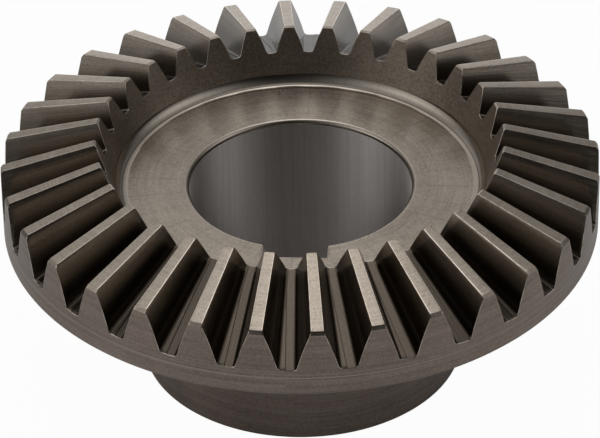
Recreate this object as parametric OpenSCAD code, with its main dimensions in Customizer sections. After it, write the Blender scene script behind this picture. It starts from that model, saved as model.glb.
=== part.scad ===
// Straight bevel gear wheel: one piece of steel, turned, bored, keyed and cut with 32 teeth.
// Millimetres, +Z up along the axis. The origin is the middle of the hub's end face, on which
// the wheel stands, and the keyway and one tooth space face -Y.

/* [Teeth] */
// Number of teeth
teeth = 32; // [28:1:40]
// Number of teeth on the pinion that the wheel runs with, which sets the pitch angle
mate_teeth = 11; // [9:1:13]
// Module at the large end
tooth_module = 4.1; // [3.8:0.1:4.8]
// Pressure angle, in degrees
pressure_angle = 20; // [17.5:0.5:22.5]
// Width of the toothed face, along the pitch cone
face_w = 22.2; // [16:0.2:24]
// Height of a tooth above the pitch cone, in modules
addendum_ratio = 1; // [0.8:0.05:1.1]
// Depth of a tooth space below the pitch cone, in modules
dedendum_ratio = 1.2; // [1.1:0.05:1.3]
// Backlash cut from each tooth's thickness at the large end
heel_backlash = 0.5; // [0:0.05:0.8]
// Backlash cut from each tooth's thickness at the small end
toe_backlash = 0.05; // [0:0.05:0.4]
// Radius of the fillet between flank and root, at the large end
root_fillet = 0.85; // [0.4:0.05:1]
// Width of the cutter's tip, which leaves a fine step along each root where its two passes meet
cutter_tip_w = 1.6; // [1:0.1:2.4]
// Height of that step
pass_step = 0.1; // [0.05:0.05:0.3]

/* [Rim] */
// Height of the rim, from the back face to the tooth tips at the large end
rim_h = 16.4; // [14:0.2:24]
// Bevel round the rim's back edge
rim_bevel = 0.8; // [0.2:0.1:2]
// Bevel on the tooth tips at the large end
heel_bevel = 0.6; // [0.2:0.1:1.2]
// Bevel on the tooth tips at the small end
toe_bevel = 0.4; // [0.2:0.1:0.8]

/* [Recess] */
// Depth of the recess floor below the tooth tips at the large end
recess_depth = 6.9; // [5:0.1:8]
// Radius of the turned corner between the recess floor and its wall
recess_fillet = 3.2; // [1:0.1:4]

/* [Hub] */
// Outside diameter of the hub
hub_d = 73; // [66:1:90]
// Length of the hub behind the rim's back face
hub_h = 35; // [16:1:60]
// Bevel round the hub's end
hub_bevel = 0.5; // [0.3:0.1:2.5]
// Fillet between the hub and the back face
hub_fillet = 2; // [0.5:0.5:5]

/* [Bore] */
// Diameter of the bore
bore_d = 50; // [40:1:54]
// Chamfer at both ends of the bore
bore_chamfer = 1; // [0.4:0.1:1.5]
// Width of the keyway
key_w = 14; // [10:1:16]
// Depth of the keyway, from the bore's surface at its middle
key_depth = 4.2; // [2.8:0.1:5]

/* [Hidden] */
$fn = 180;
flank_steps = 7;
fillet_steps = 4;
cut_margin = 1;
lean_step = 0.01;

// Pitch cone, with its apex on the axis above the wheel
pitch_angle = atan(teeth / mate_teeth);
pitch_r = tooth_module * teeth / 2;
cone_dist = pitch_r / sin(pitch_angle);
addendum = tooth_module * addendum_ratio;
dedendum = tooth_module * dedendum_ratio;
tip_r = pitch_r + addendum * cos(pitch_angle);
root_r = pitch_r - dedendum * cos(pitch_angle);
crown_z = hub_h + rim_h;
apex_z = crown_z + cone_dist * cos(pitch_angle) - addendum * sin(pitch_angle);
face_angle = atan(tip_r / (apex_z - crown_z));
toe_scale = 1 - face_w / cone_dist;

// The back cone rolled out flat: a spur gear of this pitch radius has the teeth's true profile
virtual_r = pitch_r / cos(pitch_angle);
virtual_teeth = teeth / cos(pitch_angle);
base_r = virtual_r * cos(pressure_angle);
floor_rho = virtual_r - dedendum;
top_rho = virtual_r + addendum + cut_margin;

// Recess: its wall is the cone on which the teeth end, square to the pitch cone
floor_z = crown_z - recess_depth;
toe_tip_r = tip_r * toe_scale;
toe_tip_z = apex_z - (apex_z - crown_z) * toe_scale;
foot_r = toe_tip_r - (toe_tip_z - floor_z) / tan(pitch_angle);
corner_run = recess_fillet * tan(pitch_angle / 2);

// Involute function, in degrees
function involute(a) = tan(a) * 180 / PI - a;

// Pressure angle at a radius of the rolled-out tooth
function angle_at(rho) = acos(min(1, base_r / rho));

// Backlash at a section whose size is the given share of the large end
function backlash(size) =
    toe_backlash + (heel_backlash - toe_backlash) * (size - toe_scale) / (1 - toe_scale);

// Half the width of a tooth space at a radius, in the section of the given size
function half_space(rho, size) =
    size * rho * (90 / virtual_teeth + involute(angle_at(rho)) - involute(pressure_angle)) * PI / 180
    + backlash(size) / 2;

// Lean of the flank from the middle line of the space, at a radius
function flank_lean(rho) =
    atan((half_space(rho + lean_step, 1) - half_space(rho, 1)) / lean_step);

// Half the width of the flat at the bottom of a space
function half_floor(floor, size) =
    half_space(floor + root_fillet, size) - size * root_fillet / cos(flank_lean(floor + root_fillet));

// One side of a space from its floor up: the root fillet, then the flank
function space_side(floor, size) =
    let (lean = flank_lean(floor + root_fillet),
         middle = half_floor(floor, size),
         join = floor + root_fillet * (1 - sin(lean)))
    concat(
        [for (i = [0 : fillet_steps])
            let (a = -90 + (90 - lean) * i / fillet_steps)
            [middle + size * root_fillet * cos(a), floor + root_fillet * (1 + sin(a))]],
        [for (i = [1 : flank_steps])
            let (rho = join + (top_rho - join) * i / flank_steps)
            [half_space(rho, size), rho]]);

// Outline of a space in one section. The second pass, on the left, is not quite as deep.
function space_outline(size) =
    let (right = space_side(floor_rho, size),
         left = space_side(floor_rho + pass_step, size),
         step_x = max(right[0][0] - cutter_tip_w, 0.02 - left[0][0]),
         last = len(left) - 1)
    concat(
        right,
        [for (i = [last : -1 : 0]) [-left[i][0], left[i][1]]],
        [[step_x, floor_rho + pass_step], [step_x, floor_rho]]);

// A point of the rolled-out section laid back on the cone
function on_cone(p, size) =
    let (r = size * p[1] * cos(pitch_angle),
         turn = p[0] / r * 180 / PI,
         z = apex_z - size * (cone_dist / cos(pitch_angle) - p[1] * sin(pitch_angle)))
    [r * sin(turn), -r * cos(turn), z];

// Points of an arc, from one angle to the other
function arc(middle, r, from, to, steps) =
    [for (i = [0 : steps])
        let (a = from + (to - from) * i / steps)
        [middle[0] + r * cos(a), middle[1] + r * sin(a)]];

// One tooth space: its outline carried towards the apex, from outside the rim into the recess
module tooth_space() {
    sizes = [toe_scale - cut_margin / cone_dist, (tip_r + cut_margin) / root_r];
    n = len(space_outline(1));
    middle_rho = virtual_r;
    points = concat(
        [for (size = sizes) for (p = space_outline(size)) on_cone(p, size)],
        [for (size = sizes) on_cone([0, middle_rho], size)]);
    sides = [for (i = [0 : n - 1])
        let (j = (i + 1) % n)
        each [[i, n + j, j], [i, n + i, n + j]]];
    inner_end = [for (i = [0 : n - 1]) [2 * n, i, (i + 1) % n]];
    outer_end = [for (i = [0 : n - 1]) [2 * n + 1, n + (i + 1) % n, n + i]];
    polyhedron(points, concat(sides, inner_end, outer_end));
}

// The turned blank, as one revolved outline
module blank() {
    heel_run = heel_bevel * [cos(90 - face_angle), sin(90 - face_angle)];
    toe_run = toe_bevel * [cos(90 - face_angle), sin(90 - face_angle)];
    toe_drop = toe_bevel * [cos(pitch_angle), sin(pitch_angle)];
    rotate_extrude()
        polygon(concat(
            [[0, 0], [hub_d / 2 - hub_bevel, 0], [hub_d / 2, hub_bevel]],
            arc([hub_d / 2 + hub_fillet, hub_h - hub_fillet], hub_fillet, 180, 90, 6),
            [[tip_r - rim_bevel, hub_h], [tip_r, hub_h + rim_bevel]],
            [[tip_r, crown_z - heel_bevel], [tip_r - heel_run[0], crown_z + heel_run[1]]],
            [[toe_tip_r + toe_run[0], toe_tip_z - toe_run[1]],
             [toe_tip_r - toe_drop[0], toe_tip_z - toe_drop[1]]],
            arc([foot_r - corner_run, floor_z + recess_fillet], recess_fillet,
                pitch_angle - 90, -90, 9),
            [[0, floor_z]]));
}

// The bore with a chamfer at each end
module bore_cut() {
    translate([0, 0, -cut_margin]) cylinder(d = bore_d, h = floor_z + 2 * cut_margin);
    translate([0, 0, floor_z - bore_chamfer])
        cylinder(d1 = bore_d, d2 = bore_d + 2 * (bore_chamfer + cut_margin),
                 h = bore_chamfer + cut_margin);
    translate([0, 0, -cut_margin])
        cylinder(d1 = bore_d + 2 * (bore_chamfer + cut_margin), d2 = bore_d,
                 h = bore_chamfer + cut_margin);
}

// The keyway, straight through beside the bore
module keyway_cut() {
    translate([-key_w / 2, -bore_d / 2 - key_depth, -cut_margin])
        cube([key_w, bore_d / 2 + key_depth, floor_z + 2 * cut_margin]);
}

module gear_wheel() {
    color([0.42, 0.38, 0.35])
        difference() {
            blank();
            bore_cut();
            keyway_cut();
            for (i = [0 : teeth - 1])
                rotate([0, 0, i * 360 / teeth]) tooth_space();
        }
}

gear_wheel();
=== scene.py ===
"""The looks of a straight bevel gear wheel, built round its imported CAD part. Metres, with +Z up
the axis and the keyway towards -Y."""
import math

import bpy
import numpy as np
from mathutils import Matrix, Vector


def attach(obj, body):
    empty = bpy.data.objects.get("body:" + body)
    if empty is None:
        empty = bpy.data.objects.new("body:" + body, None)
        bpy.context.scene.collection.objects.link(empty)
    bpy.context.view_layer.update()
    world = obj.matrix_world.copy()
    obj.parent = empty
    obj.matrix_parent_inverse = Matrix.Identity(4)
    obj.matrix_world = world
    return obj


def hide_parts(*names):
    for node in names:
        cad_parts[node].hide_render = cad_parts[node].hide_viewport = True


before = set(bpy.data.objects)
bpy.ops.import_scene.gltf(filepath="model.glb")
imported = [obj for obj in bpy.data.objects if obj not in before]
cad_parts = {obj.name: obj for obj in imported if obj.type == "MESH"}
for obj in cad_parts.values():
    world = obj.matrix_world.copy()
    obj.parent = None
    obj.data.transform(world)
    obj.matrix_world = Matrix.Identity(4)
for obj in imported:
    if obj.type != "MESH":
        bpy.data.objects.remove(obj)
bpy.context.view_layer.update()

# ---------------------------------------------------------------------------------------------
# Camera
# A long lens about 0.9 m away and 35 degrees above the level, which looks at the middle of the
# rim with the keyway nearly straight in front.

camera_azimuth = math.radians(2.949)
camera_elevation = math.radians(34.696)
camera_roll = math.radians(-0.8)
camera_distance = 0.90779
camera_target = Vector((-0.00025, 0.00023, 0.03424))
camera_lens = 240.995
sensor_width = 36
nearest_seen, furthest_seen = 0.05, 20

backward = Vector((
    math.sin(camera_azimuth) * math.cos(camera_elevation),
    -math.cos(camera_azimuth) * math.cos(camera_elevation),
    math.sin(camera_elevation)))
level_right = Vector((math.cos(camera_azimuth), math.sin(camera_azimuth), 0))
level_up = backward.cross(level_right)
right = level_right * math.cos(camera_roll) + level_up * math.sin(camera_roll)
up = backward.cross(right)

camera = bpy.data.objects.new("camera", bpy.data.cameras.new("camera"))
bpy.context.scene.collection.objects.link(camera)
camera.data.sensor_width = sensor_width
camera.data.lens = camera_lens
camera.data.clip_start = nearest_seen
camera.data.clip_end = furthest_seen
facing = Matrix((right, up, backward)).transposed().to_4x4()
camera.matrix_world = Matrix.Translation(camera_target + backward * camera_distance) @ facing
bpy.context.scene.camera = camera

# ---------------------------------------------------------------------------------------------
# Gear wheel
# One piece of steel: the blank is turned all over, the bore is reamed and its keyway broached,
# and the 32 straight teeth are planed towards the apex of the pitch cone, in two passes a space.

# The heel is a tooth's large end and the toe its small end. A break or a round is the small
# rounding that a deburred edge has.
tooth_count = 32
mate_count = 11
tooth_module = 0.0041
pressure_angle = math.radians(20)
face_width = 0.0222
root_depth = 1.2 * tooth_module
heel_backlash = 0.0005
toe_backlash = 0.00005
root_fillet = 0.00085
cutter_tip = 0.0016
pass_step = 0.0001
seam_width = 0.00016
least_step = 0.00002
crown_z = 0.0514
rim_bottom = 0.035
rim_bevel = 0.0008
heel_bevel = 0.0006
toe_bevel = 0.0004
floor_z = 0.0445
recess_fillet = 0.0032
hub_radius = 0.0365
hub_bevel = 0.0005
hub_fillet = 0.002
bore_radius = 0.025
bore_round = 0.001
key_half = 0.007
key_reach = 0.0292
key_break = 0.0002
edge_break = 0.00013
tip_round = 0.00016
outline_round = 0.00015

pitch_angle = math.atan(tooth_count / mate_count)
pitch_radius = tooth_module * tooth_count / 2
cone_distance = pitch_radius / math.sin(pitch_angle)
tip_radius = pitch_radius + tooth_module * math.cos(pitch_angle)
apex_z = crown_z + cone_distance * math.cos(pitch_angle) - tooth_module * math.sin(pitch_angle)
face_angle = math.atan(tip_radius / (apex_z - crown_z))
toe_size = 1 - face_width / cone_distance
rolled_radius = pitch_radius / math.cos(pitch_angle)
base_radius = rolled_radius * math.cos(pressure_angle)
root_rho = rolled_radius - root_depth
tip_rho = rolled_radius + tooth_module


def on_section(rho, size):
    """Radius and height of a point at rho from the middle of a tooth section that was rolled out
    flat. The radius is size times rho times the cosine of the pitch angle. The point lies below
    the apex by size times (cone distance over that cosine, less rho times the angle's sine)."""
    return (size * rho * math.cos(pitch_angle),
            apex_z - size * (cone_distance / math.cos(pitch_angle) - rho * math.sin(pitch_angle)))


def space_half_width(rho):
    """Half the width of a tooth space at full size: rho times (a quarter pitch plus the involute
    of the pressure angle at rho, less the involute of the gear's own pressure angle)."""
    at_rho = np.arccos(np.minimum(1, base_radius / rho))
    return rho * (math.pi * math.cos(pitch_angle) / (2 * tooth_count)
                  + np.tan(at_rho) - at_rho - math.tan(pressure_angle) + pressure_angle)


def space_side(floor_rho, flank_steps=5, fillet_steps=4):
    """Half width at full size and rho of the points up one side of a space: an arc of the root
    fillet's radius from the floor to the flank, then the involute to just under the tooth's tip,
    a middle point of the tip's rounding and the point where that rounding meets the top."""
    join_rho = floor_rho + root_fillet
    slope_step = 1e-5
    rise = space_half_width(join_rho + slope_step) - space_half_width(join_rho)
    lean = math.atan(rise / slope_step)
    middle = space_half_width(join_rho) - root_fillet / math.cos(lean)
    a = np.linspace(-math.pi / 2, -lean, fillet_steps + 1)
    fillet = np.stack([middle + root_fillet * np.cos(a),
                       floor_rho + root_fillet * (1 + np.sin(a))])
    rho = np.linspace(fillet[1, -1], tip_rho - tip_round, flank_steps + 1)[1:]
    # the flank has a point where the bevel of the tips ends, so that the bevel keeps its corner
    bevel_depth = 1.06 * heel_bevel
    rho[-2] = tip_rho - bevel_depth
    flank = np.stack([space_half_width(rho), rho])
    corner = space_half_width(tip_rho)
    tip_cut = 0.18 * tip_round
    tip = np.array([[corner + tip_cut, corner + tip_round], [tip_rho - tip_cut, tip_rho]])
    return np.concatenate([fillet, flank, tip], axis=1)


def backlash_at(size):
    """Backlash of a section: the small end's, plus the two ends' difference times the share of
    the face width from the small end to here."""
    return toe_backlash + (heel_backlash - toe_backlash) * (size - toe_size) / (1 - toe_size)


# Columns go round the wheel, and every tooth pitch has the same ones: the floor and the right side
# of a space, the top of the tooth, then the left side and the floor of the next space.
right_side = space_side(root_rho)
left_side = space_side(root_rho + pass_step)
land_shares = np.array([0.25, 0.5, 0.75])
right_first = 2
land_first = right_first + right_side.shape[1]
left_first = land_first + len(land_shares)
right_half = slice(right_first, land_first)
land = slice(land_first, left_first)
left_half = slice(left_first, left_first + left_side.shape[1])
column_rho = np.concatenate([
    [root_rho, root_rho], right_side[1], np.full(len(land_shares), tip_rho),
    left_side[1][::-1], [root_rho + pass_step, root_rho + pass_step]])
per_pitch = len(column_rho)
columns = per_pitch * tooth_count


def column_turns(size):
    """Angle round the axis of each column of one pitch, at a size given for each column: the arc
    distance from the middle of the space over the radius there. The top of the tooth is shared
    out evenly between its two corners."""
    play = backlash_at(size) / 2
    pitch = 2 * math.pi / tooth_count
    turn = np.zeros(per_pitch)
    radius = size * column_rho * math.cos(pitch_angle)
    right_arc = size[right_half] * right_side[0] + play[right_half]
    left_arc = size[left_half] * left_side[0][::-1] + play[left_half]
    turn[right_half] = right_arc / radius[right_half]
    turn[left_half] = pitch - left_arc / radius[left_half]
    right_floor = size[0] * right_side[0, 0] + play[0]
    left_floor = size[-1] * left_side[0, 0] + play[-1]
    step = max(right_floor - cutter_tip, least_step - left_floor)
    turn[0] = step / radius[0]
    turn[1] = (step + seam_width) / radius[1]
    turn[-1] = pitch + step / radius[-1]
    turn[-2] = pitch + (step - seam_width) / radius[-2]
    low, high = turn[land_first - 1], turn[left_first]
    turn[land] = low + (high - low) * land_shares
    return turn


def line_size(r0, z0, r1, z1):
    """Size at which the ray of each column from the apex meets the cone through two outline
    points: with n square to the outline, n times the way from the apex to the first point, over
    n times the way from the apex to the column's point at full size."""
    nr, nz = z1 - z0, r0 - r1
    a = column_rho * math.cos(pitch_angle)
    b = cone_distance / math.cos(pitch_angle) - column_rho * math.sin(pitch_angle)
    return (nr * r0 + nz * (z0 - apex_z)) / (nr * a - nz * b)


# Ends of each column's ray: the rim's cylinder or the bevel of the tips at the large end, and the
# recess wall or the small bevel at the small end
tip_middle = math.pi / tooth_count
heel_cylinder = tip_radius / (column_rho * math.cos(pitch_angle))
heel_cone = line_size(
    tip_radius, crown_z - heel_bevel,
    tip_radius - heel_bevel * math.sin(face_angle), crown_z + heel_bevel * math.cos(face_angle))
heel_size = np.minimum(heel_cylinder, heel_cone)
heel_tip = heel_cone < heel_cylinder
toe_tip_r, toe_tip_z = on_section(tip_rho, toe_size)
toe_cone = line_size(
    toe_tip_r + toe_bevel * math.sin(face_angle), toe_tip_z - toe_bevel * math.cos(face_angle),
    toe_tip_r - toe_bevel * math.cos(pitch_angle), toe_tip_z - toe_bevel * math.sin(pitch_angle))
toe_end = np.maximum(toe_size, toe_cone)
toe_tip = toe_cone > toe_size
toe_bevel_rho = tip_rho - toe_bevel / toe_size


def along(values):
    """Change of a quantity at each column: the next column's value less that of the column
    before. The pitches repeat, so past either end it goes on by the other end's step."""
    before = values[-2] - values[-1] + values[0]
    after = values[1] - values[0] + values[-1]
    padded = np.concatenate([[before], values, [after]])
    return padded[2:] - padded[:-2]


def inward(x, y, distance):
    """The points of an outline moved into the material by a distance, square to the outline: its
    direction (tx, ty) over its length, turned to (ty, -tx)."""
    tx, ty = along(x), along(y)
    length = np.hypot(tx, ty)
    return x + distance * ty / length, y - distance * tx / length


def drawn_in(turn, tips, amount, radius):
    """Columns of the tips drawn towards the tooth's middle: each offset from it times (1 less the
    amount over the largest offset's arc). The outermost moves by amount, and the order stays."""
    out = turn.copy()
    offset = turn[tips] - tip_middle
    out[tips] = tip_middle + offset * (1 - amount / (np.abs(offset).max() * radius))
    return out


# Rim edge of the column on the cylinder, and the same edge set in by the width of the broken edge
heel_turn = column_turns(heel_size)
heel_z = on_section(column_rho, heel_size)[1]
rim_x, rim_z = inward(heel_turn * tip_radius, heel_z, edge_break)
rim_turn = np.where(
    heel_tip, drawn_in(heel_turn, heel_tip, edge_break, tip_radius), rim_x / tip_radius)
rim_z = np.where(heel_tip, crown_z - heel_bevel, rim_z)

# The same at the small end, on the cone of the recess wall
toe_turn = column_turns(toe_end)
wall_scale = toe_size * math.cos(pitch_angle)
wall_x, wall_rho = inward(
    toe_turn * column_rho * wall_scale, column_rho * toe_size, edge_break)
wall_rho = np.where(toe_tip, toe_bevel_rho, wall_rho / toe_size)
wall_turn = np.where(
    toe_tip, drawn_in(toe_turn, toe_tip, edge_break, toe_tip_r), wall_x / (wall_rho * wall_scale))


def rounding(t, start, corner, end):
    """A point of the parabola from start to end that leaves both towards a corner: (1 - t)
    squared of the start, twice t (1 - t) of the corner and t squared of the end."""
    return (1 - t) ** 2 * start + 2 * t * (1 - t) * corner + t ** 2 * end


def round_corners(points, cut, steps=2):
    """The inner corners of an outline, each replaced by a parabola between the two points of the
    outline that lie a distance cut before and after it."""
    points = np.array(points, float)
    rows = []
    for before, corner, after in zip(points[:-2], points[1:-1], points[2:]):
        start = corner + (before - corner) * cut / np.linalg.norm(before - corner)
        end = corner + (after - corner) * cut / np.linalg.norm(after - corner)
        t = np.linspace(0, 1, steps + 1)[:, None]
        rows.append(rounding(t, start, corner, end))
    return np.concatenate(rows)


def outline_lengths(outline, start):
    """Distance along an outline at each of its points: the start's own, plus the straight steps
    from point to point added up."""
    steps = np.linalg.norm(np.diff(outline, axis=0), axis=1)
    return start + np.concatenate([[0], np.cumsum(steps)])


def grid_of(rows):
    """Rows of (radius, turn, height, distance along the outline) for one pitch, as one array."""
    return np.stack([np.stack([np.broadcast_to(v, per_pitch) for v in row]) for row in rows])


# Rows go once round the outline, from the foot of the rim up, over the teeth, down the recess,
# through the bore and back along the hub. Shares say how far along its stretch each row lies.
rim_shares = (0.0, 0.3, 0.65, 0.9)
break_shares = (0, 1 / 3, 2 / 3, 1)
tooth_shares = (0.03, 0.2, 0.4, 0.6, 0.8, 0.97)
wall_shares = (0.12, 0.35, 0.65)
corner_points = 13
floor_rings = (0.0372, 0.0352, 0.0325, 0.0312)

rows = []
rim_foot = rim_bottom + rim_bevel
for share in rim_shares:
    z = rim_foot + outline_round + (rim_z - rim_foot - outline_round) * share
    rows.append((tip_radius, rim_turn, z, z))

# broken edge at the large end: a rounding where ray and cylinder meet, a flat bevel on the tips
heel_row = len(rows)
heel_in = heel_size - edge_break / cone_distance * ~heel_tip
heel_in_turn = column_turns(heel_in)
heel_in_r, heel_in_z = on_section(column_rho, heel_in)
edge_r = np.where(heel_tip, (tip_radius + heel_in_r) / 2, tip_radius)
edge_z = np.where(heel_tip, (rim_z + heel_in_z) / 2, heel_z)
edge_turn = np.where(heel_tip, (rim_turn + heel_in_turn) / 2, heel_turn)
land_start = crown_z
for t in break_shares:
    rim_share = (1 - t) ** 2
    rows.append((rounding(t, tip_radius, edge_r, heel_in_r),
                 rounding(t, rim_turn, edge_turn, heel_in_turn),
                 rounding(t, rim_z, edge_z, heel_in_z),
                 rim_share * rim_z
                 + (1 - rim_share) * (land_start + (1 - heel_in) * cone_distance)))

# along the tooth
tooth_row = len(rows)
toe_in = toe_end + edge_break / cone_distance * ~toe_tip
for share in tooth_shares:
    size = heel_in + (toe_in - heel_in) * share
    r, z = on_section(column_rho, size)
    rows.append((r, column_turns(size), z, land_start + (1 - size) * cone_distance))

# broken edge at the small end
toe_row = len(rows)
toe_in_turn = column_turns(toe_in)
toe_in_r, toe_in_z = on_section(column_rho, toe_in)
wall_r, wall_z = on_section(wall_rho, toe_size)
edge_r, edge_z = on_section(column_rho, toe_end)
edge_r = np.where(toe_tip, (wall_r + toe_in_r) / 2, edge_r)
edge_z = np.where(toe_tip, (wall_z + toe_in_z) / 2, edge_z)
edge_turn = np.where(toe_tip, (wall_turn + toe_in_turn) / 2, toe_turn)
wall_start = land_start + face_width
for t in break_shares:
    wall_share = t ** 2
    rows.append((rounding(t, toe_in_r, edge_r, wall_r),
                 rounding(t, toe_in_turn, edge_turn, wall_turn),
                 rounding(t, toe_in_z, edge_z, wall_z),
                 (1 - wall_share) * (land_start + (1 - toe_in) * cone_distance)
                 + wall_share * (wall_start + (tip_rho - wall_rho) * toe_size)))

# recess wall, down to where its corner starts
wall_row = len(rows)
foot_z = floor_z + recess_fillet * (1 - math.cos(pitch_angle))
foot_r = toe_tip_r - (toe_tip_z - foot_z) / math.tan(pitch_angle)
floor_edge = foot_r - recess_fillet * math.sin(pitch_angle)
foot_rho = tip_rho - (toe_tip_z - foot_z) / math.sin(pitch_angle) / toe_size
for share in wall_shares:
    rho = wall_rho + (foot_rho - wall_rho) * share
    r, z = on_section(rho, toe_size)
    rows.append((r, wall_turn, z, wall_start + (tip_rho - rho) * toe_size))

# the turned rest of the recess, as one outline: the corner's arc, then rings on the floor
corner_row = len(rows)
a = np.linspace(pitch_angle, 0, corner_points)
corner_arc = np.stack([floor_edge + recess_fillet * np.sin(a),
                       floor_z + recess_fillet * (1 - np.cos(a))], -1)
recess = np.concatenate([corner_arc, [(r, floor_z) for r in floor_rings]])
recess_length = outline_lengths(recess, wall_start + (tip_rho - foot_rho) * toe_size)
rows += [(r, wall_turn, z, v) for (r, z), v in zip(recess, recess_length)]
bore_row = len(rows)


def all_round(part):
    """One pitch's rows repeated round the wheel: the turn grows by a pitch each time."""
    whole = np.tile(part, (1, 1, tooth_count))
    pitch_turn = np.arange(tooth_count) * 2 * math.pi / tooth_count
    whole[:, 1] += np.repeat(pitch_turn, per_pitch)
    return whole


near_nothing = 1e-9


def key_outline(turn, bore, side, reach):
    """Turn and radius of the hole's outline: the bore's radius, or where it is further out, side
    over the sine or reach over the cosine of the turn, which are the keyway's straight sides and
    bottom. The columns next to the keyway's corners are moved to them, the others are spread
    evenly between, and those beyond the angle called stay are left alone."""
    stay = 0.5
    signed = (turn + math.pi) % (2 * math.pi) - math.pi
    mouth, corner = math.asin(side / bore), math.atan2(side, reach)
    ends = [signed[np.abs(signed - math.asin(key_half / bore_radius)).argmin()],
            signed[np.abs(signed - math.atan2(key_half, key_reach)).argmin()]]
    size = np.interp(np.abs(signed), [0, ends[1], ends[0], stay, math.pi],
                     [0, corner, mouth, stay, math.pi])
    moved = np.sign(signed) * size
    size = np.abs(moved)
    on_side = side / np.maximum(np.sin(size), near_nothing)
    radius = np.where(size <= corner + near_nothing, reach / np.cos(moved),
                      np.where(size < mouth - near_nothing, on_side, bore))
    return moved + turn - signed, radius


upper = all_round(grid_of(rows))
inner_turn, outer_turn = upper[-1, 1], upper[0, 1]
in_key = key_outline(
    inner_turn, bore_radius, key_half, key_reach)[1] > bore_radius + near_nothing


def hole_row(bore, side, reach, z_round, z_key, v):
    """One row of the hole's outline, with its own height on the circle and in the keyway."""
    turn, radius = key_outline(inner_turn, bore, side, reach)
    return radius, turn, np.where(in_key, z_key, z_round), np.full(columns, v)


def lip_rows(z, inwards, v, angles):
    """Rows round the broken edge at one end of the hole, a quarter circle: at angle a it stands
    back from the wall by 1 - sin a, and from the end face by 1 - cos a, of its radius."""
    made = []
    for a in angles:
        back, deep = 1 - math.sin(a), 1 - math.cos(a)
        made.append(hole_row(
            bore_radius + bore_round * back,
            key_half + key_break * back, key_reach + key_break * back,
            z + inwards * bore_round * deep, z + inwards * key_break * deep, v + bore_round * a))
    return made


# Upper lip, wall and lower lip of the hole
lip_points = 8
lip_angles = np.linspace(0, math.pi / 2, lip_points)
bore_shares = (0.33, 0.67)
lip_start = recess_length[-1] + recess[-1, 0] - bore_radius - bore_round
bore_start = lip_start + bore_round * math.pi / 2
lower = lip_rows(floor_z, -1, lip_start, lip_angles)
for share in bore_shares:
    z = floor_z * (1 - share)
    lower.append(hole_row(bore_radius, key_half, key_reach, z, z, bore_start + floor_z * share))
lower += lip_rows(0, 1, 2 * floor_z + bore_start, lip_angles[::-1])
hub_row = bore_row + len(lower) - 1

# Hub and back of the rim, as one outline. Its marks start a tenth of a metre on in the maps, so
# that they don't repeat the bore's.
face_rings = (0.0312, 0.033)
hub_rings = (0.008, 0.016, 0.024)
back_rings = (0.046, 0.053, 0.060)
hub_corner_points = 7
map_jump = 0.1
a = np.linspace(math.pi, math.pi / 2, hub_corner_points)
hub_corner = np.stack([hub_radius + hub_fillet * (1 + np.cos(a)),
                       rim_bottom - hub_fillet * (1 - np.sin(a))], -1)
hub_end = round_corners(
    [(face_rings[0], 0), (hub_radius - hub_bevel, 0), (hub_radius, hub_bevel),
     (hub_radius, hub_rings[-1])], outline_round)
rim_back = round_corners(
    [(back_rings[-1], rim_bottom), (tip_radius - rim_bevel, rim_bottom), (tip_radius, rim_foot),
     (tip_radius, crown_z)], outline_round)
hub = np.concatenate([
    [(r, 0) for r in face_rings], hub_end, [(hub_radius, z) for z in hub_rings],
    hub_corner, [(r, rim_bottom) for r in back_rings], rim_back[:-1]])
hub_length = outline_lengths(hub, bore_start + map_jump)
for index, ((r, z), v) in enumerate(zip(hub, hub_length)):
    turn = inner_turn + (outer_turn - inner_turn) * (index / len(hub))
    lower.append((np.full(columns, r), turn, np.full(columns, z), np.full(columns, v)))
lower = np.stack([np.stack(row) for row in lower])

net = np.concatenate([upper, lower])
row_count = len(net)
radius, turn, height, length = net[:, 0], net[:, 1], net[:, 2], net[:, 3]
points = np.stack([radius * np.sin(turn), -radius * np.cos(turn), height], -1)

# Faces: each row joins the next, the last row the first, and the last column the first
sharp_angle = math.radians(32)
row, column = np.meshgrid(np.arange(row_count), np.arange(columns), indexing="ij")
next_row, next_column = (row + 1) % row_count, (column + 1) % columns
quads = np.stack([row * columns + column, row * columns + next_column,
                  next_row * columns + next_column, next_row * columns + column], -1)

wheel_mesh = bpy.data.meshes.new("wheel")
wheel_mesh.from_pydata(points.reshape(-1, 3), [], quads.reshape(-1, 4))
wheel_mesh.shade_smooth()
wheel_mesh.set_sharp_from_angle(angle=sharp_angle)

# Two maps in metres, with the distance along the outline as their second coordinate. The first
# coordinate of "turned" is the arc at a middle radius, that of "cut" the distance across the
# teeth. The faces that join the last row to the first, and the last column of a pitch to the
# first of the next, get a short run of their own.
map_radius = 0.05
row_join = 0.003
pitch_join = 0.0001
loop_column = np.stack([column, column + 1, column + 1, column], -1).reshape(-1)
loop_row = np.stack([row, row, row + 1, row + 1], -1).reshape(-1)
closed_length = np.concatenate([length, length[-1:] + row_join])
loop_v = closed_length[loop_row, loop_column % columns]
middle_size = (1 + toe_size) / 2
middle_turns = column_turns(np.full(per_pitch, middle_size))
section_x = middle_turns * column_rho * middle_size * math.cos(pitch_angle)
section_y = column_rho * middle_size
across = np.cumsum(np.hypot(np.diff(section_x), np.diff(section_y)))
across = np.concatenate([[0], across])
across_pitch = across[-1] + pitch_join
across_all = (across + across_pitch * np.arange(tooth_count)[:, None]).reshape(-1)
across_all = np.concatenate([across_all, [across_pitch * tooth_count]])
round_all = np.concatenate([inner_turn, inner_turn[:1] + 2 * math.pi]) * map_radius
for name, first in (("turned", round_all), ("cut", across_all)):
    layer = wheel_mesh.uv_layers.new(name=name)
    layer.data.foreach_set("uv", np.stack([first[loop_column], loop_v], -1).reshape(-1))

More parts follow.
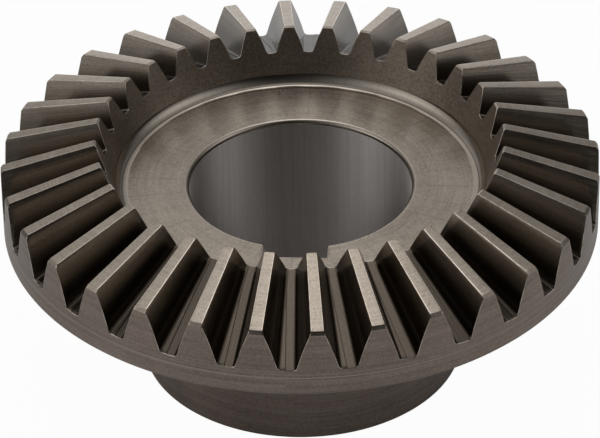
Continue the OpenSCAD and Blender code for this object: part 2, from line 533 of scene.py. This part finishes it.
# Three masks: broken edges, where handling wears the steel bright and a highlight is painted;
# depth in the tooth spaces, from 0 at the tips to 1 at the roots, which sets a painted shade; and
# the seam of the tool's two passes, which gets a painted dark line of shade
in_pitch = np.arange(columns) % per_pitch
# the rim's lower bevel gets part of the edge lightening, as a painted highlight
rim_back_rows = slice(-5, -1)
rim_back_wear_and_highlight = 0.7
edge = np.zeros((row_count, columns))
edge[tooth_row:toe_row] = (in_pitch == land_first - 2) | (in_pitch == left_first + 1)
edge[heel_row + 1:tooth_row - 1] = ~np.tile(heel_tip, tooth_count)
edge[toe_row + 1:wall_row - 1] = 1
edge[rim_back_rows] = rim_back_wear_and_highlight
# the depth mask carries the painted shade of the tooth spaces
depth = np.tile((tip_rho - column_rho) / (tip_rho - root_rho), (row_count, tooth_count))
# the seam mask carries a near-black painted line of shade
seam = np.zeros((row_count, columns))
seam[heel_row:wall_row] = (in_pitch == 0) | (in_pitch == per_pitch - 1)
for name, mask in (("edge", edge), ("depth", depth), ("seam", seam)):
    layer = wheel_mesh.attributes.new(name, "FLOAT", "POINT")
    layer.data.foreach_set("value", mask.reshape(-1))

# Finish of each face, by its material slot. The corner's finish also covers the bore's upper lip.
turned_slot, cut_slot, reamed_slot, wall_slot, corner_slot, outside_slot = range(6)
on_land = (in_pitch >= land_first - 1) & (in_pitch < left_first)
slots = np.full((row_count, columns), turned_slot)
slots[:heel_row] = outside_slot
slots[heel_row:wall_row - 1] = np.where(on_land, turned_slot, cut_slot)
slots[wall_row - 1:corner_row] = wall_slot
slots[corner_row:corner_row + corner_points - 1] = corner_slot
slots[bore_row:hub_row] = reamed_slot
slots[bore_row:bore_row + lip_points - 1] = corner_slot
slots[hub_row:] = outside_slot
wheel_mesh.polygons.foreach_set("material_index", slots.reshape(-1))

wheel = bpy.data.objects.new("wheel", wheel_mesh)
bpy.context.scene.collection.objects.link(wheel)
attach(wheel, "root")
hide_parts("gear_wheel")

even_shading = wheel.modifiers.new("even_shading", "WEIGHTED_NORMAL")
even_shading.keep_sharp = True


def add_node(tree, kind, inputs=None, **settings):
    """A shader node with its settings. Each input gets a value, or a link where it is given
    another node's output."""
    node = tree.nodes.new("ShaderNode" + kind)
    for key, value in settings.items():
        setattr(node, key, value)
    for key, value in (inputs or {}).items():
        if isinstance(value, bpy.types.NodeSocket):
            tree.links.new(value, node.inputs[key])
        else:
            node.inputs[key].default_value = value
    return node


def spread(tree, value, low, high, bottom=0, top=1):
    """The value with low to high stretched to bottom to top, and held at those beyond them:
    bottom plus (value less low) over (high less low) times (top less bottom)."""
    return add_node(tree, "MapRange", {
        "Value": value, "From Min": low, "From Max": high,
        "To Min": bottom, "To Max": top}).outputs[0]


def colour_mix(tree, share, first, second):
    """A colour: 1 less the share of the first, plus the share of the second."""
    return add_node(tree, "Mix", {"Factor": share, "A": first, "B": second},
                    data_type="RGBA").outputs["Result"]


def new_group(name, inputs, outputs):
    """An empty shader group with named sockets, and the ends that its nodes are linked to."""
    tree = bpy.data.node_groups.new(name, "ShaderNodeTree")
    for label, kind in inputs.items():
        tree.interface.new_socket(name=label, in_out="INPUT", socket_type="NodeSocket" + kind)
    for label in outputs:
        tree.interface.new_socket(name=label, in_out="OUTPUT", socket_type="NodeSocketFloat")
    return (tree, tree.nodes.new("NodeGroupInput").outputs,
            tree.nodes.new("NodeGroupOutput").inputs)


# Tool marks: noise drawn out along the first coordinate of a map, with its lines a pitch apart,
# and broader lines of the same kind added to it
broad_scale, broad_share = 0.21, 0.8
tone_range = (0.6, 1.2)
tool_marks, given, result = new_group(
    "tool_marks", {"Map": "Vector", "Run": "Float", "Pitch": "Float"}, ("Height", "Tone"))
cell = add_node(tool_marks, "CombineXYZ", {"X": given["Run"], "Y": given["Pitch"], "Z": 1})
stretched = add_node(
    tool_marks, "VectorMath", {0: given["Map"], 1: cell.outputs[0]}, operation="DIVIDE")
fine = add_node(tool_marks, "TexNoise", {
    "Vector": stretched.outputs[0], "Scale": 1, "Detail": 1, "Roughness": 0.5})
broad = add_node(tool_marks, "TexNoise", {
    "Vector": stretched.outputs[0], "Scale": broad_scale, "Detail": 2, "Roughness": 0.6})
height_sum = add_node(
    tool_marks, "Math", {0: broad.outputs[0], 1: broad_share, 2: fine.outputs[0]},
    operation="MULTIPLY_ADD")
tone = spread(tool_marks, height_sum.outputs[0], *tone_range)
tool_marks.links.new(height_sum.outputs[0], result["Height"])
tool_marks.links.new(tone, result["Tone"])

# Tarnish: soft clouds of oil and handling, and a sand of fine specks, so many to the metre
specks_per_metre = 1900
cloud_range = (0.3, 0.7)
tarnish, given, result = new_group(
    "tarnish", {"Position": "Vector", "Cloud Size": "Float"}, ("Cloud", "Specks"))
frequency = add_node(tarnish, "Math", {0: 1, 1: given["Cloud Size"]}, operation="DIVIDE")
cloud = add_node(tarnish, "TexNoise", {
    "Vector": given["Position"], "Scale": frequency.outputs[0], "Detail": 4, "Roughness": 0.55})
grit = add_node(tarnish, "TexNoise", {
    "Vector": given["Position"], "Scale": specks_per_metre, "Detail": 1, "Roughness": 0.5})
tarnish.links.new(spread(tarnish, cloud.outputs[0], *cloud_range), result["Cloud"])
tarnish.links.new(spread(tarnish, grit.outputs[0], *cloud_range), result["Specks"])

# Edge wear and painted highlight: the mask of the broken edges, broken up into patches, so many
# to the metre. It lightens those edges as handling wear and as a painted highlight together.
patches_per_metre = 420
patch_range = (0.36, 0.56)
least_wear_and_highlight = 0.25
edge_wear_and_highlight, given, result = new_group(
    "edge_wear_and_highlight", {"Edge": "Float", "Position": "Vector", "Amount": "Float"}, ("Wear And Highlight",))
patches = add_node(edge_wear_and_highlight, "TexNoise", {
    "Vector": given["Position"], "Scale": patches_per_metre, "Detail": 2})
patch_mask = spread(edge_wear_and_highlight, patches.outputs[0], *patch_range, least_wear_and_highlight, 1)
on_edge = add_node(edge_wear_and_highlight, "Math", {0: given["Edge"], 1: patch_mask}, operation="MULTIPLY")
wear_and_highlight = add_node(edge_wear_and_highlight, "Math", {0: on_edge.outputs[0], 1: given["Amount"]},
                operation="MULTIPLY", use_clamp=True)
edge_wear_and_highlight.links.new(wear_and_highlight.outputs[0], result["Wear And Highlight"])

# Painted line: a fine line of colour at a place along the outline, used for a painted highlight
# round the rim and a painted line of shade in the recess corner. It fades evenly to nothing at
# its half width.
painted_shading_line, given, result = new_group(
    "painted_shading_line", {"Map": "Vector", "Place": "Float", "Half Width": "Float"}, ("Line",))
along_map = add_node(painted_shading_line, "SeparateXYZ", {0: given["Map"]})
beside = add_node(
    painted_shading_line, "Math", {0: along_map.outputs["Y"], 1: given["Place"]}, operation="SUBTRACT")
off_line = add_node(painted_shading_line, "Math", {0: beside.outputs[0]}, operation="ABSOLUTE")
line = spread(painted_shading_line, off_line.outputs[0], given["Half Width"], 0)
painted_shading_line.links.new(line, result["Line"])

# Painted shade lies in the tooth spaces from just under the tips down, and a near-black painted
# line of shade lies along the seam
root_shade_depths = (0.08, 0.6)
root_shade_share = 0.85
# near-black colour of the painted line of shade on the seam
seam_shade_colour = (0.03, 0.025, 0.02, 1)
cloud_size = 0.016
gloss_change = 0.04


def steel_finish(name, map_name, dark, pale, worn_and_highlight, roughness, anisotropy, turn_marks, marks,
                 clouds, mark_depth, wear_and_highlight_amount, line=None, root_shade=None):
    """A metal whose colour goes from dark to pale with its tool marks, specks and clouds, and to a
    lighter edge colour on its broken edges, which is steel rubbed bright by handling and a painted
    highlight together. Its gloss is drawn out along the map's first coordinate, or across it where
    turn_marks is a quarter. Marks are their run and pitch, and clouds the weights of the marks,
    the specks and the clouds. A line is a place along the outline, a half width and a colour, for
    a painted line, pale for a highlight and dark for shade. The last argument is the colour of the
    painted shade in the tooth spaces, deepest at the roots, with a near-black painted line on the
    seam."""
    material = bpy.data.materials.new(name)
    material.use_nodes = True
    tree = material.node_tree
    bsdf = tree.nodes["Principled BSDF"]
    bsdf.inputs["Metallic"].default_value = 1
    bsdf.inputs["Anisotropic"].default_value = anisotropy
    bsdf.inputs["Anisotropic Rotation"].default_value = turn_marks
    tangent = add_node(tree, "Tangent", direction_type="UV_MAP", uv_map=map_name)
    tree.links.new(tangent.outputs[0], bsdf.inputs["Tangent"])
    outline_map = add_node(tree, "UVMap", uv_map=map_name).outputs[0]
    position = add_node(tree, "TexCoord").outputs["Object"]
    run, pitch = marks
    lines = add_node(tree, "Group", {"Map": outline_map, "Run": run, "Pitch": pitch},
                     node_tree=tool_marks).outputs
    film = add_node(tree, "Group", {"Position": position, "Cloud Size": cloud_size},
                    node_tree=tarnish).outputs
    edges = add_node(tree, "Attribute", attribute_name="edge")
    wear_and_highlight = add_node(tree, "Group", {
        "Edge": edges.outputs["Fac"], "Position": position, "Amount": wear_and_highlight_amount},
        node_tree=edge_wear_and_highlight).outputs["Wear And Highlight"]

    # share of the pale colour: the marks, the specks and the clouds, each around a half
    share = 0.5 - sum(clouds) / 2
    for part, weight in zip((lines["Tone"], film["Specks"], film["Cloud"]), clouds):
        share = add_node(tree, "Math", {0: part, 1: weight, 2: share},
                         operation="MULTIPLY_ADD").outputs[0]
    share.node.use_clamp = True
    metal = colour_mix(tree, share, (*dark, 1), (*pale, 1))
    # the finish's painted line along the outline, pale for a highlight and dark for shade
    if line:
        place, half_width, line_colour = line
        mark = add_node(tree, "Group", {
            "Map": outline_map, "Place": place, "Half Width": half_width}, node_tree=painted_shading_line)
        metal = colour_mix(tree, mark.outputs["Line"], metal, (*line_colour, 1))
    # painted shade in the tooth spaces, deepening towards the roots
    if root_shade:
        depth_in = add_node(tree, "Attribute", attribute_name="depth").outputs["Fac"]
        root_shaded = spread(tree, depth_in, *root_shade_depths, 0, root_shade_share)
        metal = colour_mix(tree, root_shaded, metal, (*root_shade, 1))
        # a near-black painted line of shade along the seam of the two passes
        seam_shade = add_node(tree, "Attribute", attribute_name="seam").outputs["Fac"]
        metal = colour_mix(tree, seam_shade, metal, seam_shade_colour)
    # broken edges lightened, as handling wear and a painted highlight together
    metal = colour_mix(tree, wear_and_highlight, metal, (*worn_and_highlight, 1))
    gloss = spread(tree, film["Cloud"], 0, 1, roughness - gloss_change, roughness + gloss_change)
    relief = add_node(tree, "Bump", {
        "Height": lines["Height"], "Strength": 1, "Distance": mark_depth})
    tree.links.new(metal, bsdf.inputs["Base Color"])
    tree.links.new(gloss, bsdf.inputs["Roughness"])
    tree.links.new(relief.outputs[0], bsdf.inputs["Normal"])
    wheel_mesh.materials.append(material)


# The six finishes, in the order of their slots. A pale painted highlight line runs low round the
# rim, and a dark painted line of shade through the recess corner, at one of its arc's points.
line_point = 8
# a pale painted highlight line low round the rim
rim_highlight_line = (0.0397, 0.00015, (0.46, 0.41, 0.36))
# a dark painted line of shade in the recess corner
corner_shade_line = (recess_length[line_point], 0.00022, (0.08, 0.068, 0.055))
steel_finish(
    "turned_steel", "turned", dark=(0.225, 0.19, 0.155), pale=(0.38, 0.332, 0.278),
    worn_and_highlight=(0.5, 0.44, 0.38), roughness=0.28, anisotropy=0.75, turn_marks=0.25,
    marks=(0.02, 0.00042), clouds=(0.5, 0.5, 0.5), mark_depth=0.000006, wear_and_highlight_amount=0.8)
steel_finish(
    "cut_steel", "cut", dark=(0.27, 0.226, 0.182), pale=(0.47, 0.41, 0.345),
    worn_and_highlight=(0.72, 0.64, 0.56), roughness=0.2, anisotropy=0.4, turn_marks=0,
    marks=(0.0003, 0.012), clouds=(0.8, 0.5, 0.2), mark_depth=0.000012, wear_and_highlight_amount=1,
    root_shade=(0.085, 0.069, 0.053))
steel_finish(
    "reamed_steel", "turned", dark=(0.56, 0.525, 0.5), pale=(0.72, 0.68, 0.65),
    worn_and_highlight=(0.75, 0.71, 0.68), roughness=0.55, anisotropy=1, turn_marks=0.25,
    marks=(0.0014, 0.04), clouds=(0.6, 0.3, 0.3), mark_depth=0.000003, wear_and_highlight_amount=0.5)
steel_finish(
    "wall_steel", "turned", dark=(0.23, 0.192, 0.155), pale=(0.39, 0.332, 0.268),
    worn_and_highlight=(0.5, 0.44, 0.38), roughness=0.42, anisotropy=0.3, turn_marks=0.25,
    marks=(0.006, 0.0005), clouds=(0.4, 0.9, 0.5), mark_depth=0.000012, wear_and_highlight_amount=0.8)
steel_finish(
    "corner_steel", "turned", dark=(0.27, 0.236, 0.2), pale=(0.4, 0.352, 0.3),
    worn_and_highlight=(0.5, 0.44, 0.38), roughness=0.15, anisotropy=0.5, turn_marks=0.25,
    marks=(0.03, 0.0003), clouds=(0.5, 0.3, 0.3), mark_depth=0.000005, wear_and_highlight_amount=0,
    line=corner_shade_line)
steel_finish(
    "outside_steel", "turned", dark=(0.2, 0.16, 0.135), pale=(0.37, 0.305, 0.26),
    worn_and_highlight=(0.5, 0.43, 0.37), roughness=0.32, anisotropy=0.75, turn_marks=0.25,
    marks=(0.03, 0.0004), clouds=(0.6, 0.4, 0.4), mark_depth=0.000007, wear_and_highlight_amount=0.8,
    line=rim_highlight_line)

# ---------------------------------------------------------------------------------------------
# Floor
# A wide pale sheet of paper, on which the wheel stands on its hub. It lies a hair under the hub's
# end face, so that the two don't share a plane.

floor_half = 6
floor_drop = 0.00005
sheet_colour = (0.75, 0.75, 0.75, 1)
white_to_camera = 0.97
white_to_gloss = 0.06

floor_mesh = bpy.data.meshes.new("floor")
floor_mesh.from_pydata(
    [(x * floor_half, y * floor_half, -floor_drop)
     for x, y in ((-1, -1), (1, -1), (1, 1), (-1, 1))],
    [], [(0, 1, 2, 3)])
floor = bpy.data.objects.new("floor", floor_mesh)
bpy.context.scene.collection.objects.link(floor)

# The camera sees the sheet nearly all white, with a trace of its own shaded colour, which keeps
# the wheel's shadow. Glossy and transmission rays see that shaded colour with a little white.
pale_sheet = bpy.data.materials.new("pale_sheet")
pale_sheet.use_nodes = True
tree = pale_sheet.node_tree
tree.nodes.clear()
path = add_node(tree, "LightPath")
mirrored = add_node(tree, "Math", {
    0: path.outputs["Is Glossy Ray"], 1: path.outputs["Is Transmission Ray"]},
    operation="MAXIMUM")
mirrored_share = add_node(
    tree, "Math", {0: mirrored.outputs[0], 1: white_to_gloss}, operation="MULTIPLY")
white_share = add_node(tree, "Math", {
    0: path.outputs["Is Camera Ray"], 1: white_to_camera, 2: mirrored_share.outputs[0]},
    operation="MULTIPLY_ADD")
sheet = add_node(tree, "BsdfDiffuse", {"Color": sheet_colour})
white = add_node(tree, "Emission", {"Color": (1, 1, 1, 1)})
seen = add_node(tree, "MixShader", {
    "Fac": white_share.outputs[0], 1: sheet.outputs[0], 2: white.outputs[0]})
add_node(tree, "OutputMaterial", {"Surface": seen.outputs[0]})
floor_mesh.materials.append(pale_sheet)

# ---------------------------------------------------------------------------------------------
# Studio
# Soft white screens round the table: behind and above the wheel, low behind it, and at its two
# sides. The camera's side is dark, and to the camera the room itself is white.

# Each light is a soft round patch of the sky: its azimuth (0 is behind the wheel, 90 to the
# right), its elevation, its spread and its brightness in the middle, from which it falls off as
# exp((cos(angle) - 1) / spread^2).
studio_lights = {
    "high_panel": (0, 67, 12, 2.8),
    "back_panel": (0, 43, 13, 0.5),
    "low_panel": (0, 24, 12, 0.3),
    "horizon": (-4, 3, 12, 2.35),
    "back_left_panel": (-33, 36, 13, 0.75),
    "back_right_panel": (30, 32, 12, 0.2),
    "left_panel": (-105, 34, 22, 1.4),
    "right_panel": (92, 38, 17, 1.25),
}
room_light = 0.02
white_room = 1

studio = bpy.data.worlds.new("studio")
bpy.context.scene.world = studio
studio.use_nodes = True
tree = studio.node_tree
tree.nodes.clear()
direction = add_node(tree, "TexCoord").outputs["Generated"]
light = room_light
for azimuth, elevation, light_spread, brightness in studio_lights.values():
    a, e = math.radians(azimuth), math.radians(elevation)
    middle = (math.sin(a) * math.cos(e), math.cos(a) * math.cos(e), math.sin(e))
    towards = add_node(tree, "VectorMath", {0: direction, 1: middle}, operation="DOT_PRODUCT")
    away = add_node(tree, "Math", {0: towards.outputs["Value"], 1: 1}, operation="SUBTRACT")
    sharpness = 1 / math.radians(light_spread) ** 2
    falloff = add_node(tree, "Math", {0: away.outputs[0], 1: sharpness}, operation="MULTIPLY")
    patch = add_node(tree, "Math", {0: falloff.outputs[0]}, operation="EXPONENT")
    light = add_node(tree, "Math", {0: patch.outputs[0], 1: brightness, 2: light},
                     operation="MULTIPLY_ADD").outputs[0]
path = add_node(tree, "LightPath")
shown = add_node(tree, "Mix", {
    "Factor": path.outputs["Is Camera Ray"], "A": light, "B": white_room})
background = add_node(tree, "Background", {"Strength": shown.outputs["Result"]})
add_node(tree, "OutputWorld", {"Surface": background.outputs[0]})

bpy.context.scene.view_settings.view_transform = "Standard"
